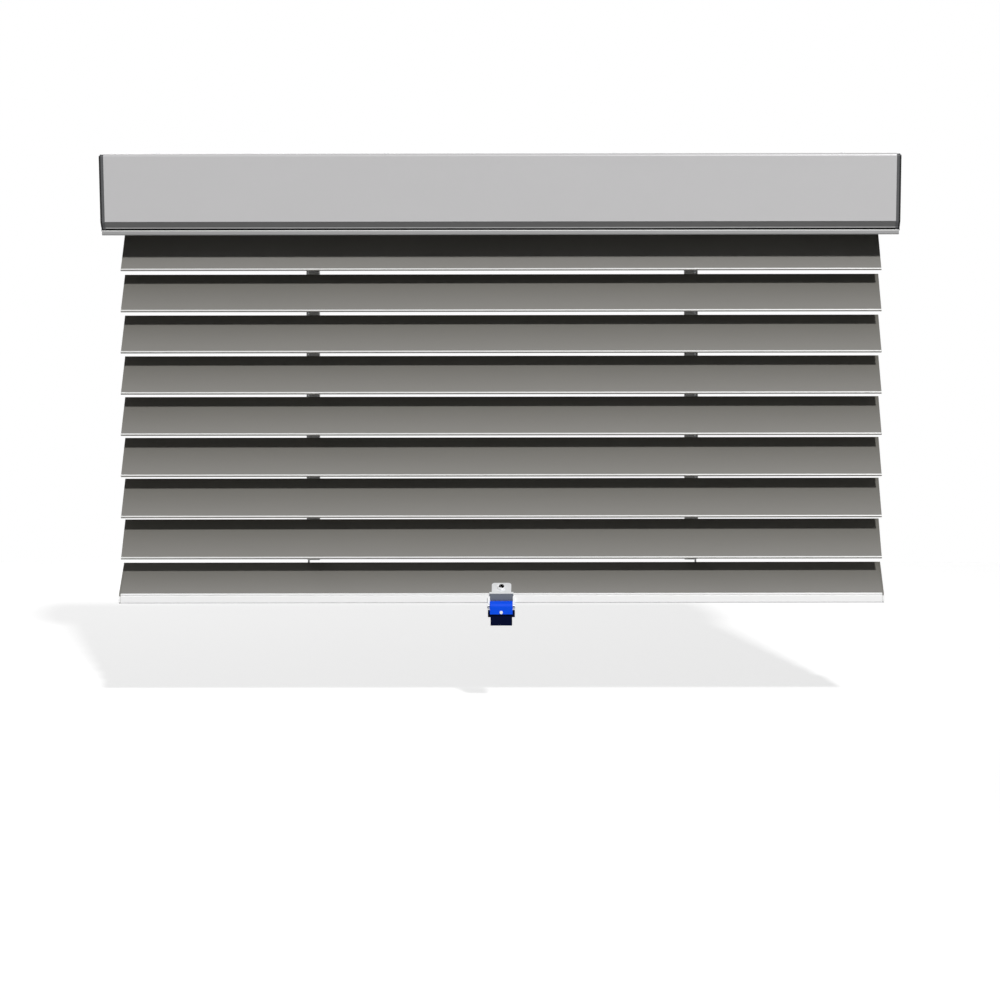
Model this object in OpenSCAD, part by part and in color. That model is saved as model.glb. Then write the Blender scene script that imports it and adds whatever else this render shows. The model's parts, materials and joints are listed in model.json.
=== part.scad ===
// Exterior blind with a surface-mounted head box, eight tilting slats,
// a weighted bottom rail and a hinged pull grip.
// X runs along the blind, +Y points into the wall, +Z is up.
// The origin is the centre of the four wall bolts, on the wall plane.

/* [Head box] */
// Length over the end caps
box_l = 1384; // [1300:1:1600]
// Height of the box
box_h = 140; // [130:1:170]
// How far the front panel leans out from its lower edge to the top
box_lean = 16.5; // [8:0.5:25]
// Thickness of the front cover and the top panel
skin_t = 2; // [1.2:0.1:3]
// Thickness of the back plate
back_t = 3; // [2:0.5:5]
// Outer radius of the top front corner
corner_r = 5; // [4:0.5:9]
// Thickness of an end cap
cap_t = 8; // [6:0.5:12]
// Step around the outer face of an end cap
cap_step = 2; // [1:0.5:3]
// Height of the panel's lower edge over the box bottom
panel_foot = 23; // [21:0.5:30]
// Depth of the chamfer under the front panel
chamfer_d = 8; // [5:0.5:12]
// Height of the chamfer under the front panel
chamfer_h = 9.5; // [6:0.5:11]
// Height of the bead under the chamfer
bead_h = 2; // [1:0.5:3]
// Height of the bottom profile
lip_h = 8.5; // [6:0.5:8.5]
// Depth of the bottom profile
lip_d = 5; // [5:0.5:12]
// Rounding of the nose of the bottom profile
lip_round = 2.4; // [1.5:0.1:2.5]
// How far the bottom profile stops short of the caps' outer faces
lip_short = 2; // [1:0.5:4]
// How far the end caps and the back plate stop above the profile's lower edge
rim_rise = 5; // [4:0.5:5]
// Clearance between the swinging slats and the bottom profile
front_clear = 4; // [3:0.5:8]
// Width of the lap where the cover lies on the top panel
lap_w = 20; // [16:1:24]
// Distance from the top front corner to the lap's middle
lap_back = 24; // [20:1:30]

/* [Wall fixing] */
// Distance between the wall bolts along the blind
bolt_span = 1200; // [900:10:1240]
// Distance between the wall bolts, up and down
bolt_rise = 80; // [60:1:100]
// Diameter of a wall bolt hole
bolt_hole_d = 9; // [6:0.5:11]
// Distance of the cable inlet from the box end
inlet_inset = 132; // [120:1:160]
// Height of the cable inlet over the bottom of the box
inlet_rise = 30; // [26:1:40]
// Bore of the cable grommet
inlet_d = 8; // [6:0.5:10]
// Outer diameter of the grommet's neck
grommet_d = 14; // [12:0.5:18]
// Thickness of the grommet's flanges
grommet_flange = 2; // [1:0.5:3]

/* [Slats] */
// Length of a slat
slat_l = 1330; // [1200:1:1340]
// Width of a slat over its rolled front edge
slat_w = 80; // [70:1:84]
// Thickness of the slat sheet
slat_t = 1.2; // [0.8:0.1:1.4]
// Diameter of the rolled front edge
slat_bead_d = 4.6; // [4:0.1:5]
// Distance from slat to slat
slat_pitch = 72; // [70:0.5:80]
// Slope of the slats at rest, from level, in degrees
slat_tilt = 55; // [40:1:60]
// Distance from a slat's pivot to its back edge, along the slat
pivot_u = 8; // [7:0.5:10]
// Distance from a slat's pivot up to the middle of its sheet
pivot_n = 6; // [6:0.1:7]
// Distance of the slat pivots from the wall
pivot_back = 42; // [40:1:60]
// Height of the first slat's pivot over the box bottom
first_rise = 7.5; // [5:0.5:10]

/* [Suspension] */
// Distance of the two tape stations from the middle
station_x = 330; // [250:5:400]
// Width of a lift tape
lift_tape_w = 12; // [8:0.5:13]
// Thickness of a lift tape
lift_tape_t = 0.8; // [0.5:0.1:1.2]
// Width of a tilt tape
tilt_tape_w = 8; // [6:0.5:10]
// Thickness of a tilt tape
tilt_tape_t = 0.6; // [0.4:0.1:1]
// Gap between a tape and the pieces beside it
tape_gap = 0.3; // [0.3:0.1:0.6]
// Diameter of the hinge pins on the carriers
pin_d = 4; // [3:0.1:4.4]
// Running clearance of a pin or shaft, on the radius
run_clear = 0.05; // [0.02:0.01:0.1]
// Radius of a hinge ear
ear_r = 4.2; // [3.8:0.1:4.4]
// Thickness of a hinge ear
ear_t = 3; // [2:0.1:3.4]
// Height of a carrier block
carrier_h = 8; // [6:0.1:8.6]
// Width of a carrier block
carrier_w = 17; // [15:0.5:18]
// Length of a tilt lever, pivot to barrel
lever_r = 20; // [18:0.5:24]
// Rise of a tilt lever over level at rest, in degrees
lever_rise = 20; // [10:1:25]
// Thickness of the lever and of the hinge arm
lever_t = 2.6; // [2:0.1:2.8]
// Diameter of the barrel at the lever's end
barrel_d = 6; // [5:0.1:6.4]
// Length of the barrel
barrel_l = 7; // [5:0.5:8]
// Length of a hinge foot along the slat
foot_l = 24; // [16:1:30]
// Width of a hinge foot
foot_w = 18; // [14:0.5:20]
// Thickness of a hinge foot
foot_t = 1.5; // [1:0.1:1.6]
// Distance from a slat's back edge to its hinge feet
foot_set = 4; // [3.5:0.5:5]

/* [Head rail] */
// Length of the head rail
head_l = 1300; // [1000:5:1320]
// Width of the head rail
head_w = 58; // [54:1:64]
// Height of the head rail
head_h = 50; // [48:1:54]
// Sheet thickness of the head rail
head_t = 2; // [1.5:0.1:2.5]
// Distance of the head rail's top below the box top
head_drop = 6; // [5:0.5:8]
// Distance of the shaft below the head rail's top
shaft_drop = 26; // [25:0.5:27]
// Corner diameter of the six-sided drive shaft
shaft_d = 12; // [10:0.5:14]
// Length of each drive shaft past its tape station
shaft_over = 40; // [34:1:60]
// Diameter of a tape spool's hub
hub_d = 28; // [24:1:30]
// Diameter of a tape spool's flanges
flange_d = 46; // [42:1:46]
// Thickness of a spool flange
flange_t = 1.5; // [1:0.1:2]
// Thickness of a bearing block
bearing_t = 6; // [4:0.5:8]
// Distance of the bearing blocks from the tape station
bearing_gap = 12; // [11:0.5:16]
// Length of the motor
motor_l = 220; // [180:1:260]
// Height of the motor
motor_h = 42; // [38:1:44]
// Outer diameter of a shaft coupler
coupler_d = 22; // [18:0.5:26]
// Length of a shaft coupler
coupler_l = 28; // [20:1:36]
// Distance of the inner hangers from the middle
hanger_in = 190; // [170:5:230]
// Distance of the outer hangers from the middle
hanger_out = 520; // [450:5:560]
// Width of a hanger
hanger_w = 30; // [20:1:40]
// Thickness of a hanger
hanger_t = 2.5; // [2:0.1:3]

/* [Bottom rail] */
// Depth of the rail's sloping face
rail_face_d = 52; // [48:0.5:58]
// Height of the rail's sloping face
rail_face_h = 48; // [44:0.5:54]
// Distance of the face's back edge in front of the pivot
rail_set_y = 6; // [5:0.5:9]
// Distance of the face's back edge below the pivot
rail_set_z = 7.5; // [7:0.5:10]
// Height of the rail's front lip
rail_lip_h = 12.7; // [10:0.1:18]
// Chamfer of the lip's lower edge
lip_edge = 1.5; // [0.5:0.1:1.8]
// Depth of the groove over the front lip
rail_groove = 1.5; // [1:0.1:2]
// Height of that groove
rail_groove_h = 1.2; // [0.8:0.1:2]
// Diameter of the bright bead over the groove
rail_bead_d = 2.4; // [2:0.1:3]
// Depth of the rail's flat underside
rail_under = 12.4; // [11:0.2:16]
// Wall of the bottom rail
rail_wall = 1.8; // [1.4:0.1:2.2]
// Diameter of the steel weight in the rail
weight_d = 9; // [6:0.5:9]
// Thickness of the rail's end caps
rail_cap_t = 3; // [2:0.5:5]

/* [Pull grip] */
// Width of the bracket's plate on the rail
plate_w = 34; // [28:0.5:38]
// Length of the plate along the slope
plate_l = 24; // [20:0.5:30]
// Thickness of the bracket
plate_t = 2; // [1.5:0.1:2.5]
// Corner radius of the plate
plate_r = 5; // [2:0.5:8]
// Height of the bracket's front leaf
leaf_h = 11; // [10:0.5:13]
// Width of the blue grip
grip_w = 39.4; // [34:0.2:44]
// Diameter of the grip's barrel
grip_d = 19; // [16:0.5:19]
// Height of the grip below its pin
grip_h = 13; // [12.5:0.5:20]
// Distance of the grip's pin in front of the lip
grip_out = 11.1; // [10.5:0.1:14]
// Distance of the grip's pin below the lip's bottom
grip_below = 4.5; // [4:0.5:9]
// Side clearance of the grip between the cheeks
grip_clear = 0.3; // [0.2:0.1:0.5]
// Thickness of a cheek
cheek_t = 3.8; // [3:0.1:5]
// Radius of a cheek's round end
cheek_r = 5; // [4.5:0.1:5.5]
// Diameter of the grip's pin
grip_pin_d = 4; // [3:0.1:5]
// Width of the tongue's collar
collar_w = 47; // [42:0.5:48]
// Height of the tongue's collar
collar_h = 12; // [8:0.5:13]
// Width of the tongue
tongue_w = 37.6; // [30:0.2:40]
// Height of the tongue below its collar
tongue_h = 14.4; // [10:0.2:20]
// Diameter of the screw head on the plate
screw_head_d = 14; // [10:0.5:16]
// Diameter of the rivet head on the grip
rivet_d = 5.8; // [4:0.2:6]

/* [Hidden] */
slat_count = 8;
$fn = 48;
eps = 0.01;

slat_names = [for (k = [1:slat_count]) str("slat_", k)];
hinge_names = [for (k = [1:slat_count]) str("slat_hinges_", k)];
carrier_names = [for (k = [1:slat_count]) str("slat_carriers_", k)];

// Colours of the finishes
silver_grey = [0.76, 0.75, 0.76];
cap_grey = [0.27, 0.28, 0.30];
seal_black = [0.06, 0.06, 0.07];
steel = [0.72, 0.73, 0.75];
slat_grey = [0.50, 0.49, 0.46];
bright_alu = [0.90, 0.90, 0.90];
tape_grey = [0.22, 0.22, 0.23];
motor_grey = [0.35, 0.36, 0.38];
grip_blue = [0.02, 0.31, 0.92];
tongue_navy = [0.04, 0.06, 0.22];

// Places in the box section, as [y, z] pairs
box_top = box_h / 2;
box_bottom = -box_h / 2;
bead_r = slat_bead_d / 2;
pivot_y = -pivot_back;
slat_reach = norm([pivot_u + slat_w, pivot_n + bead_r]);
lip_back = pivot_y - slat_reach - front_clear;
lip_front = lip_back - lip_d;
lip_top = box_bottom + lip_h;
rim_low = box_bottom + rim_rise;
panel_z = box_bottom + panel_foot;
bead_y = lip_back - skin_t - 1;
bead_top = panel_z - chamfer_h;
bead_low = bead_top - bead_h;
panel_y = bead_y - chamfer_d;
panel_top_y = panel_y - box_lean;
lean_angle = atan2(box_lean, box_top - panel_z);
corner_back = corner_r / tan((90 - lean_angle) / 2);
corner_at = [panel_top_y + corner_back, box_top - corner_r];
corner_points = arc(corner_at, corner_r, 90, 180 + lean_angle, 10);
cap_x = box_l / 2 - cap_t;
cap_drop = 1;
cap_knuckle_r = 4;
knuckle_end = 225;
lap_mid = panel_top_y + lap_back;
lap_front = lap_mid - lap_w / 2;
lap_rear = lap_mid + lap_w / 2;

inlet_x = box_l / 2 - inlet_inset;
inlet_z = box_bottom + inlet_rise;
grommet_lip = 3;

// Screw ports that the end caps are fastened to
port_r = 4.5;
port_screw_d = 4;
port_screw_l = 24;
port_head_d = 7.6;
port_head_h = 2.6;
port_sink = port_head_h + 0.4;
port_bite = 1;
panel_inner_0 = panel_y - box_lean * (0 - panel_z) / (box_top - panel_z) + skin_t;
port_top = [lap_rear + 12, box_top - skin_t - port_r + port_bite];
port_front = [panel_inner_0 + port_r - port_bite / 2, 0];
port_back = [-back_t - port_r + port_bite, box_bottom + 10];
ports = [port_top, port_front, port_back];

// Suspension columns
first_z = box_bottom + first_rise;
rail_z = first_z - slat_pitch * slat_count;
carrier_shift = 1.5;
carrier_in = station_x - carrier_w / 2 + carrier_shift;
carrier_out = carrier_in + carrier_w;
ear_in = carrier_out + tape_gap;
ear_mid = ear_in + ear_t / 2;
barrel_out = ear_in + barrel_l;
barrel_mid = ear_in + barrel_l / 2;
ear_out = ear_in + ear_t;
pin_head_r = pin_d / 2 + 1.2;
pin_head_l = 1.4;
lift_tape_y = pivot_y + hub_d / 2 + tape_gap;
carrier_back = hub_d / 2;
lever_at_rest = lever_r * [cos(lever_rise), sin(lever_rise)];
lever_local = lever_r * [cos(lever_rise - slat_tilt), sin(lever_rise - slat_tilt)];
tilt_tape_y = pivot_y + lever_at_rest[0] + barrel_d / 2 + tape_gap;
foot_u = pivot_u + foot_set;
foot_top = pivot_n - slat_t / 2;

// Head rail and drive
head_top = box_top - head_drop;
head_low = head_top - head_h;
shaft_z = head_top - shaft_drop;
shaft_end = station_x + shaft_over;
spool_half = lift_tape_w / 2 + tape_gap;
motor_top = head_top - head_t;
boss_d = coupler_d + 2;
boss_l = 8;
stub_d = 9;
stub_l = 20;
coupler_in = motor_l / 2 + boss_l + 1;
bearing_r = 9;
hanger_xs = [-hanger_out, -hanger_in, hanger_in, hanger_out];
hanger_bolt_d = 6;
hanger_bolt_z = head_low + 8;
hook_l = 8;
cover_screw_xs = [-1.5, -0.5, 0.5, 1.5] * (box_l / 3.5);
cover_screw_d = 4;
cover_screw_head_d = 8;
cover_screw_head_h = 1.6;

// Bottom rail section, from the rail's pivot, at rest
rail_back = [-rail_set_y, -rail_set_z];
rail_nose = rail_back + [-rail_face_d, -rail_face_h];
rail_dir = unit(rail_nose - rail_back);
rail_out = [rail_dir[1], -rail_dir[0]];
rail_skin_back = rail_back - rail_out * slat_t;
rail_skin_nose = rail_nose - rail_out * slat_t;
slope_fall = rail_face_h / rail_face_d;
rail_bead_r = rail_bead_d / 2;
bead_sink = 0.1;
rail_front_y = rail_nose[0] - rail_bead_d;
rail_bead_y = rail_front_y + rail_bead_r;
slope_z = rail_back[1] + (rail_bead_y - rail_back[0]) * slope_fall;
rail_bead_at = [rail_bead_y, slope_z - (rail_bead_r + bead_sink) * norm([1, slope_fall])];
lip_high = rail_bead_at[1] - rail_bead_r - rail_groove_h;
lip_low = lip_high - rail_lip_h;
rail_heel = [rail_front_y + rail_under, lip_low];
spine_set = [-5, -11.5];
rail_spine = rail_skin_back + spine_set;
rail_section = [
    rail_skin_back,
    rail_skin_nose,
    [rail_front_y + rail_groove, rail_bead_at[1]],
    [rail_front_y + rail_groove, lip_high],
    [rail_front_y, lip_high],
    [rail_front_y, lip_low + lip_edge],
    [rail_front_y + lip_edge, lip_low],
    rail_heel,
    rail_spine];
rail_hollow_outline = [
    rail_skin_back,
    rail_skin_nose,
    [rail_front_y + rail_groove, rail_bead_at[1]],
    [rail_front_y + rail_groove, lip_low],
    rail_heel,
    rail_spine];
weight_gap = 0.4;
weight_seat = rail_wall + weight_d / 2;
weight_at = [rail_front_y + rail_groove + weight_seat + weight_gap, lip_low + weight_seat];
spine_dir = unit(rail_heel - rail_spine);
spine_out = [-spine_dir[1], spine_dir[0]];
rail_foot_start = rail_spine + spine_dir * 2;
rail_foot_end = rail_foot_start + spine_dir * foot_l;
rail_foot_wall = 2;

// Pull grip, from the rail's pivot, at rest
bracket_corner = [rail_front_y, rail_back[1] + (rail_front_y - rail_back[0]) * slope_fall];
bracket_start = bracket_corner - rail_dir * plate_l;
bracket_end = bracket_corner - [0, leaf_h];
screw_at = bracket_start + rail_dir * plate_l * 0.45;
grip_pin_at = [rail_front_y - grip_out, lip_low - grip_below];
cheek_in = grip_w / 2 + grip_clear;
cheek_out = cheek_in + cheek_t;
leaf_half = cheek_in + cheek_t / 4;
grip_taper = 1.5;
grip_low = grip_pin_at[1] - grip_h;
grip_back_y = grip_pin_at[0] + grip_d / 2;
grip_front_y = grip_pin_at[0] - grip_d / 2;
collar_top = grip_pin_at[1] - cheek_r - 2;
collar_set = 1.5;
collar_face = grip_pin_at[0] + collar_set;
collar_low = collar_top - collar_h;
rivet_z = grip_low + rivet_d / 2 + 0.6;

// Unit vector along v
function unit(v) = v / norm(v);

// Vector v turned a quarter turn to the left
function left(v) = [-v[1], v[0]];

// Points on an arc around c from angle a0 to a1
function arc(c, r, a0, a1, n) =
    [for (i = [0:n]) let (a = a0 + (a1 - a0) * i / n) c + r * [cos(a), sin(a)]];

// Point i of outline p moved off by t to the left, between directions a and b
function moved(q, a, b, t) =
    let (m = unit(left(a) + left(b))) q + m * t / (m * left(a));

// Open line p moved off by t to its left
function beside(p, t) =
    let (n = len(p))
    [for (i = [0:n - 1])
        let (a = unit(i > 0 ? p[i] - p[i - 1] : p[1] - p[0]))
        let (b = unit(i < n - 1 ? p[i + 1] - p[i] : p[i] - p[i - 1]))
        moved(p[i], a, b, t)];

// Closed outline p moved off by t to its left
function within(p, t) =
    let (n = len(p))
    [for (i = [0:n - 1])
        let (a = unit(p[i] - p[(i + n - 1) % n]))
        let (b = unit(p[(i + 1) % n] - p[i]))
        moved(p[i], a, b, t)];

// Outline of a sheet of thickness t on the left of line p
function sheet(p, t) =
    let (q = beside(p, t), n = len(p))
    concat(p, [for (i = [n - 1:-1:0]) q[i]]);

// Outline of a straight bar of width w from p to q
function bar(p, q, w) =
    let (s = left(unit(q - p)) * w / 2) [p + s, q + s, q - s, p - s];

// Point at distance u down the slat and n over it, in a level slat's [y, z]
function on_slat(u, n) = [-u, n];

// Extrudes a [y, z] outline along X
module along_x(x0, x1) {
    translate([x0, 0, 0]) rotate([90, 0, 90]) linear_extrude(x1 - x0) children();
}

// Round bar along X at [y, z]
module rod(x0, x1, at, r) {
    translate([x0, at[0], at[1]]) rotate([0, 90, 0]) cylinder(h = x1 - x0, r = r);
}

// Round bar along Y at [x, z]
module rod_y(y0, y1, at, r) {
    translate([at[0], y0, at[1]]) rotate([-90, 0, 0]) cylinder(h = y1 - y0, r = r);
}

// Copies on both tape stations, mirrored
module both_sides() {
    children();
    mirror([1, 0, 0]) children();
}

// Places children drawn around a slat pivot
module at_pivot(k) {
    translate([0, pivot_y, first_z - slat_pitch * (k - 1)]) children();
}

// Places children drawn around the bottom rail's pivot
module at_rail() {
    translate([0, pivot_y, rail_z]) children();
}

// Places children drawn around the drive shaft
module at_shaft() {
    translate([0, pivot_y, shaft_z]) children();
}

module back_plate() {
    color(silver_grey) difference() {
        union() {
            translate([-cap_x, -back_t, rim_low]) cube([2 * cap_x, back_t, box_top - skin_t - rim_low]);
            rod(-cap_x, cap_x, port_back, port_r);
        }
        rod(-cap_x - eps, cap_x + eps, port_back, port_screw_d / 2 + run_clear);
        for (x = [-0.5, 0.5] * bolt_span)
            for (z = [-0.5, 0.5] * bolt_rise)
                rod_y(-back_t - eps, eps, [x, z], bolt_hole_d / 2);
        rod_y(-back_t - eps, eps, [inlet_x, inlet_z], grommet_d / 2 + run_clear);
        for (x = hanger_xs)
            rod_y(-back_t - eps, eps, [x, hanger_bolt_z], hanger_bolt_d / 2 + run_clear);
    }
}

module top_panel() {
    line = [
        [0, box_top],
        [lap_rear, box_top],
        [lap_rear, box_top - skin_t],
        [lap_front, box_top - skin_t],
        [lap_front, box_top - 2 * skin_t],
        [lap_rear + skin_t, box_top - 2 * skin_t],
        [lap_rear + skin_t, box_top - skin_t],
        [0, box_top - skin_t]];
    color(silver_grey) difference() {
        union() {
            along_x(-cap_x, cap_x) polygon(line);
            rod(-cap_x, cap_x, port_top, port_r);
        }
        rod(-cap_x - eps, cap_x + eps, port_top, port_screw_d / 2 + run_clear);
        cover_screw_holes();
    }
}

module front_cover() {
    line = concat(
        [[lap_rear, box_top]],
        corner_points,
        [[panel_y, panel_z], [bead_y, bead_top], [bead_y, bead_low]]);
    color(silver_grey) difference() {
        union() {
            along_x(-cap_x, cap_x) polygon(sheet(line, skin_t));
            rod(-cap_x, cap_x, port_front, port_r);
        }
        rod(-cap_x - eps, cap_x + eps, port_front, port_screw_d / 2 + run_clear);
        cover_screw_holes();
    }
}

// Holes for the screws through the lap of cover and top panel
module cover_screw_holes() {
    for (x = cover_screw_xs)
        translate([x, lap_mid, box_top - 3 * skin_t])
            cylinder(h = 4 * skin_t, r = cover_screw_d / 2 + run_clear);
}

module cover_screws() {
    color(steel) for (x = cover_screw_xs)
        translate([x, lap_mid, 0]) difference() {
            union() {
                translate([0, 0, box_top]) cylinder(h = cover_screw_head_h, r = cover_screw_head_d / 2);
                translate([0, 0, box_top - 4 * skin_t]) cylinder(h = 4 * skin_t + eps, r = cover_screw_d / 2);
            }
            translate([0, 0, box_top + cover_screw_head_h / 2])
                cylinder(h = cover_screw_head_h, r = cover_screw_d / 2.2, $fn = 6);
        }
}

module cover_seal() {
    inset = 0.4;
    color(seal_black) translate([-cap_x, bead_y + inset, lip_top])
        cube([2 * cap_x, skin_t - inset, bead_low - lip_top]);
}

module bottom_profile() {
    half = box_l / 2 - lip_short;
    nose_y = lip_front + lip_round;
    color(silver_grey) {
        along_x(-half, half) polygon([
            [lip_back, box_bottom],
            [lip_back, lip_top],
            [nose_y, lip_top],
            [nose_y, box_bottom]]);
        rod(-half, half, [nose_y, lip_top - lip_round], lip_round);
        rod(-half, half, [nose_y, box_bottom + lip_round], lip_round);
        along_x(-half, half) polygon([
            [lip_front, box_bottom + lip_round],
            [lip_front, lip_top - lip_round],
            [nose_y, lip_top - lip_round],
            [nose_y, box_bottom + lip_round]]);
    }
}

// Angles that tie the bottom profile to the end caps
module lip_brackets() {
    leg = 16;
    high = bead_low - box_bottom;
    color(steel) both_sides() difference() {
        translate([cap_x - leg, lip_back, box_bottom + 1]) cube([leg, leg, high - 1]);
        translate([cap_x - leg - eps, lip_back + skin_t, box_bottom])
            cube([leg - skin_t + eps, leg, high + 1]);
    }
}

// Side outline of an end cap, with its top a little under the cover
function cap_outline(in) =
    let (top = box_top - cap_drop, corner = corner_at - [0, cap_drop])
    within(concat(
        [[0, rim_low], [0, top]],
        arc(corner, corner_r, 90, 180 + lean_angle, 10),
        arc([panel_y + cap_knuckle_r, panel_z + 0.5], cap_knuckle_r, 180 + lean_angle, knuckle_end, 4),
        [[bead_y, bead_top], [bead_y, bead_low], [lip_back, bead_low], [lip_back, rim_low]]), in);

// An end cap on the right, with a step all round its outer face
module end_cap() {
    color(cap_grey) difference() {
        union() {
            along_x(cap_x, cap_x + cap_t - cap_step) polygon(cap_outline(0));
            along_x(cap_x + cap_t - cap_step - eps, cap_x + cap_t) polygon(cap_outline(cap_step));
        }
        for (p = ports) {
            rod(cap_x - eps, cap_x + cap_t + eps, p, port_screw_d / 2 + run_clear);
            rod(cap_x + cap_t - port_sink, cap_x + cap_t + eps, p, port_head_d / 2 + run_clear);
        }
    }
}

module end_cap_right() {
    end_cap();
}

module end_cap_left() {
    mirror([1, 0, 0]) end_cap();
}

module end_cap_screws() {
    seat = cap_x + cap_t - port_sink;
    color(steel) both_sides() for (p = ports) difference() {
        union() {
            rod(seat, seat + port_head_h, p, port_head_d / 2);
            rod(seat - port_screw_l, seat + eps, p, port_screw_d / 2);
        }
        rod(seat + port_head_h / 2, seat + port_head_h + eps, p, port_screw_d / 2.4, $fn = 6);
    }
}

module cable_grommet() {
    color(seal_black) difference() {
        union() {
            rod_y(-back_t, 0, [inlet_x, inlet_z], grommet_d / 2);
            rod_y(-back_t - grommet_flange, -back_t, [inlet_x, inlet_z], grommet_d / 2 + grommet_lip);
        }
        rod_y(-back_t - grommet_flange - eps, eps, [inlet_x, inlet_z], inlet_d / 2);
    }
}

module head_rail() {
    half = head_w / 2;
    line = [
        [pivot_y + half, head_low],
        [pivot_y + half, head_top],
        [pivot_y - half, head_top],
        [pivot_y - half, head_low]];
    color(steel) along_x(-head_l / 2, head_l / 2) polygon(sheet(line, head_t));
}

// Hooked brackets from the back plate over the head rail
module rail_hangers() {
    far = pivot_y - head_w / 2 - hanger_t;
    line = [
        [-back_t, head_low],
        [-back_t, head_top + hanger_t],
        [far, head_top + hanger_t],
        [far, head_top - hook_l]];
    color(steel) for (x = hanger_xs) difference() {
        along_x(x - hanger_w / 2, x + hanger_w / 2) polygon(sheet(line, hanger_t));
        rod_y(-back_t - hanger_t - eps, -back_t + eps, [x, hanger_bolt_z], hanger_bolt_d / 2 + run_clear);
    }
}

module hanger_bolts() {
    head_h = 3;
    seat = -back_t - hanger_t;
    color(steel) for (x = hanger_xs) {
        rod_y(seat - head_h, seat, [x, hanger_bolt_z], hanger_bolt_d * 0.9, $fn = 6);
        rod_y(seat - eps, -0.5, [x, hanger_bolt_z], hanger_bolt_d / 2);
    }
}

module motor() {
    half = head_w / 2 - head_t;
    rib_step = motor_l / 11;
    rib_w = 4;
    rib_h = 3;
    color(motor_grey) difference() {
        union() {
            translate([-motor_l / 2, pivot_y - half, motor_top - motor_h]) cube([motor_l, 2 * half, motor_h]);
            rod(-motor_l / 2 - boss_l, motor_l / 2 + boss_l, [pivot_y, shaft_z], boss_d / 2);
        }
        for (i = [-4:4])
            translate([i * rib_step - rib_w / 2, pivot_y - half - eps, motor_top - motor_h - eps])
                cube([rib_w, 2 * half + 1, rib_h]);
        both_sides()
            rod(coupler_in - stub_l - eps, coupler_in, [pivot_y, shaft_z], stub_d / 2 + run_clear);
    }
}

module bearing_blocks() {
    half = head_w / 2 - head_t;
    color(motor_grey) both_sides() for (side = [-1, 1]) {
        beside_arm = side > 0 ? barrel_l + 1 : -2;
        mid = station_x + side * (bearing_gap + bearing_t / 2) + beside_arm;
        difference() {
            union() {
                translate([mid - bearing_t / 2, pivot_y - half, shaft_z])
                    cube([bearing_t, 2 * half, motor_top - shaft_z]);
                rod(mid - bearing_t / 2, mid + bearing_t / 2, [pivot_y, shaft_z], bearing_r + 4);
            }
            rod(mid - bearing_t, mid + bearing_t, [pivot_y, shaft_z], shaft_d / 2 + run_clear);
        }
    }
}

// Six-sided shafts, with round journals where they turn in a bore
module drive_shafts() {
    start = coupler_in + coupler_l / 2;
    color(steel) both_sides() {
        rod(start, shaft_end, [pivot_y, shaft_z], shaft_d / 2, $fn = 6);
        rod(station_x - bearing_gap - bearing_t - 3, shaft_end, [pivot_y, shaft_z], shaft_d / 2);
    }
}

module shaft_couplers() {
    color(steel) both_sides() difference() {
        union() {
            rod(coupler_in, coupler_in + coupler_l, [pivot_y, shaft_z], coupler_d / 2);
            rod(coupler_in - stub_l + 1, coupler_in + eps, [pivot_y, shaft_z], stub_d / 2);
        }
        rod(coupler_in + coupler_l / 2, coupler_in + coupler_l + eps, [pivot_y, shaft_z],
            shaft_d / 2 + run_clear, $fn = 6);
    }
}

module tape_spools() {
    at = [pivot_y, shaft_z];
    color(motor_grey) both_sides() difference() {
        union() {
            rod(station_x - spool_half, station_x + spool_half, at, hub_d / 2);
            for (x = [station_x - spool_half - flange_t, station_x + spool_half])
                rod(x, x + flange_t, at, flange_d / 2);
        }
        rod(station_x - spool_half - flange_t - eps, station_x + spool_half + flange_t + eps, at,
            shaft_d / 2 + run_clear);
    }
}

// Lever from a pivot at the origin to a barrel, in the plane of the ears
module lever(to) {
    along_x(ear_in, ear_out) polygon(bar([0, 0], to, lever_t));
    rod(ear_in, barrel_out, to, barrel_d / 2);
}

module tilt_arms() {
    color(tape_grey) both_sides() at_shaft() difference() {
        union() {
            rod(ear_in, barrel_out, [0, 0], bearing_r);
            lever(lever_at_rest);
        }
        rod(ear_in - 1, barrel_out + 1, [0, 0], shaft_d / 2 + run_clear);
    }
}

module lift_tapes() {
    low = rail_z - carrier_h / 2;
    color(tape_grey) both_sides() translate([station_x - lift_tape_w / 2, lift_tape_y, low])
        cube([lift_tape_w, lift_tape_t, shaft_z - low]);
}

module tilt_tapes() {
    low = rail_z + lever_at_rest[1] - barrel_d / 2;
    high = shaft_z + lever_at_rest[1] + barrel_d / 2;
    color(tape_grey) both_sides() translate([barrel_mid - tilt_tape_w / 2, tilt_tape_y, low])
        cube([tilt_tape_w, tilt_tape_t, high - low]);
}

// A slat with a plain back edge and a rolled front edge, drawn level around its pivot
module slat_blade() {
    front_u = pivot_u + slat_w - bead_r;
    half = slat_l / 2;
    translate([-half, -front_u, foot_top]) cube([slat_l, front_u - pivot_u, slat_t]);
    rod(-half, half, on_slat(front_u, pivot_n), bead_r);
}

module slat(k) {
    color(slat_grey) at_pivot(k) rotate([slat_tilt, 0, 0]) slat_blade();
}

// Ear, arm and foot under a slat, and the tilt lever behind it
module slat_hinge() {
    difference() {
        union() {
            rod(ear_in, ear_out, [0, 0], ear_r);
            along_x(ear_in, ear_out)
                polygon(bar([0, 0], on_slat(foot_u + 0.5, foot_top - lever_t / 2 - 0.2), lever_t));
            translate([ear_mid - foot_w / 2, -foot_u - foot_l, foot_top - foot_t])
                cube([foot_w, foot_l, foot_t]);
            lever(lever_local);
        }
        rod(ear_in - 1, ear_out + 1, [0, 0], pin_d / 2 + run_clear);
    }
}

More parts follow.
